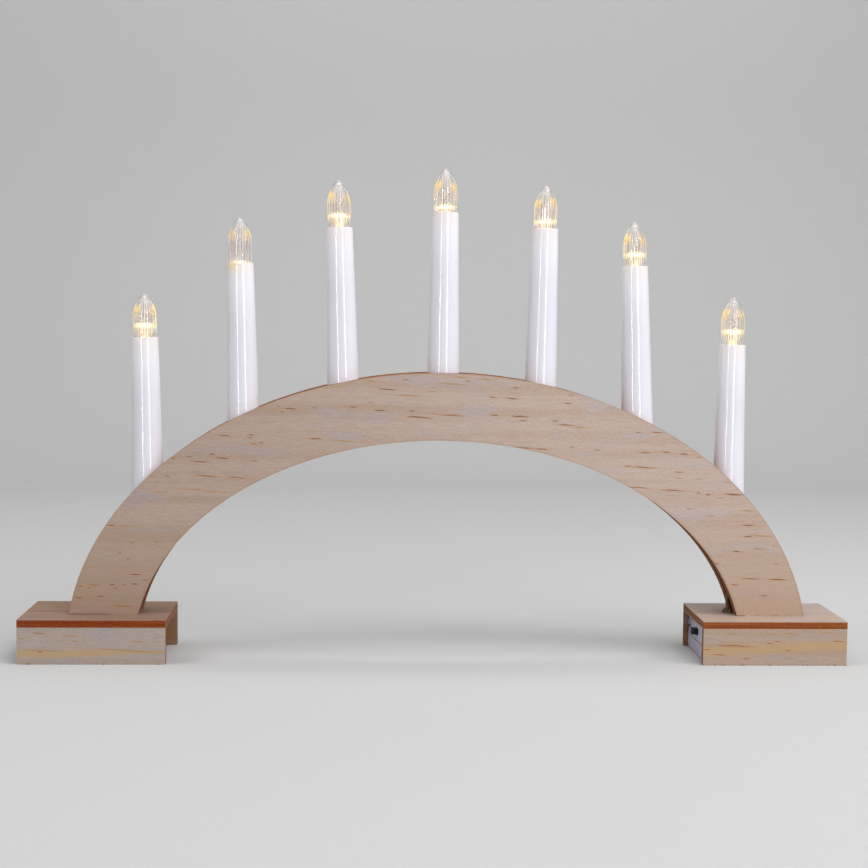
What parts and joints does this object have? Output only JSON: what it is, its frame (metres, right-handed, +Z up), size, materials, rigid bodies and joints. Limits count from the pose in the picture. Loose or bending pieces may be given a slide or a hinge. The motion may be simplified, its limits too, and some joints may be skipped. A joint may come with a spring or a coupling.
{
  "type": "candle arch",
  "caption": "Veneered wooden arch on channel feet with LED candles along its top edge, fed by a battery box with a slide switch in one foot.",
  "frame": {"origin": "on the table, under the middle of the box round the whole arch", "axes": "+X along the arch towards the foot with the battery box, +Y from the front to the back, +Z up"},
  "size_m": [0.45, 0.057, 0.2693],
  "materials": {
    "arch_fibreboard": "bare sawn fibreboard edge",
    "foot_fibreboard": "bare sawn fibreboard edge, reddish brown",
    "pine_veneer": "sanded pine veneer, matt",
    "screw_steel": "zinc plated",
    "sleeve_plastic": "glossy moulded white",
    "clear_cap": "clear moulded plastic",
    "led_lens": "warm white LED lens",
    "tinned_wire": "tinned",
    "hot_melt": "milky hot melt",
    "clear_insulation": "clear insulation over tinned strands",
    "shrink_sleeve": "heat-shrunk sleeve",
    "box_plastic": "fine matt moulded white",
    "cell_jacket": "printed film jacket, left plain",
    "contact_steel": "nickel plated spring steel",
    "switch_plastic": "black moulded",
    "resistor_coat": "lacquered"
  },
  "bodies": {
    "frame": {"arch_core": "arch_fibreboard", "left_foot_top_board": "foot_fibreboard", "left_foot_front_board": "foot_fibreboard", "left_foot_back_board": "foot_fibreboard", "right_foot_top_board": "foot_fibreboard", "right_foot_front_board": "foot_fibreboard", "right_foot_back_board": "foot_fibreboard", "arch_front_veneer": "pine_veneer", "arch_back_veneer": "pine_veneer", "left_foot_top_veneers": "pine_veneer", "left_foot_front_veneers": "pine_veneer", "left_foot_back_veneers": "pine_veneer", "right_foot_top_veneers": "pine_veneer", "right_foot_front_veneers": "pine_veneer", "right_foot_back_veneers": "pine_veneer", "leg_screws": "screw_steel", "candle_sleeve_1": "sleeve_plastic", "candle_sleeve_2": "sleeve_plastic", "candle_sleeve_3": "sleeve_plastic", "candle_sleeve_4": "sleeve_plastic", "candle_sleeve_5": "sleeve_plastic", "candle_sleeve_6": "sleeve_plastic", "candle_sleeve_7": "sleeve_plastic", "flame_cap_1": "clear_cap", "flame_cap_2": "clear_cap", "flame_cap_3": "clear_cap", "flame_cap_4": "clear_cap", "flame_cap_5": "clear_cap", "flame_cap_6": "clear_cap", "flame_cap_7": "clear_cap", "led_1": "led_lens", "led_2": "led_lens", "led_3": "led_lens", "led_4": "led_lens", "led_5": "led_lens", "led_6": "led_lens", "led_7": "led_lens", "led_legs": "tinned_wire", "switch_pins": "tinned_wire", "led_glue": "hot_melt", "feed_glue": "hot_melt", "box_glue": "hot_melt", "candle_leads": "clear_insulation", "harness_wires": "clear_insulation", "box_wires": "clear_insulation", "splice_sleeves": "shrink_sleeve", "battery_box": "box_plastic", "battery_1": "cell_jacket", "battery_2": "cell_jacket", "battery_3": "cell_jacket", "contact_plates": "contact_steel", "contact_springs": "contact_steel", "switch_body": "switch_plastic", "resistor": "resistor_coat"},
    "switch_knob": {"switch_knob": "switch_plastic"},
    "battery_cover": {"battery_cover": "box_plastic"}
  },
  "joints": [
    {"name": "switch_slide", "type": "slide", "parent": "frame", "child": "switch_knob", "axis": [0, -1, 0], "range_m": [0, 0.003]},
    {"name": "cover_slide", "type": "slide", "parent": "frame", "child": "battery_cover", "axis": [-1, 0, 0], "range_m": [0, 0.06]}
  ]
}
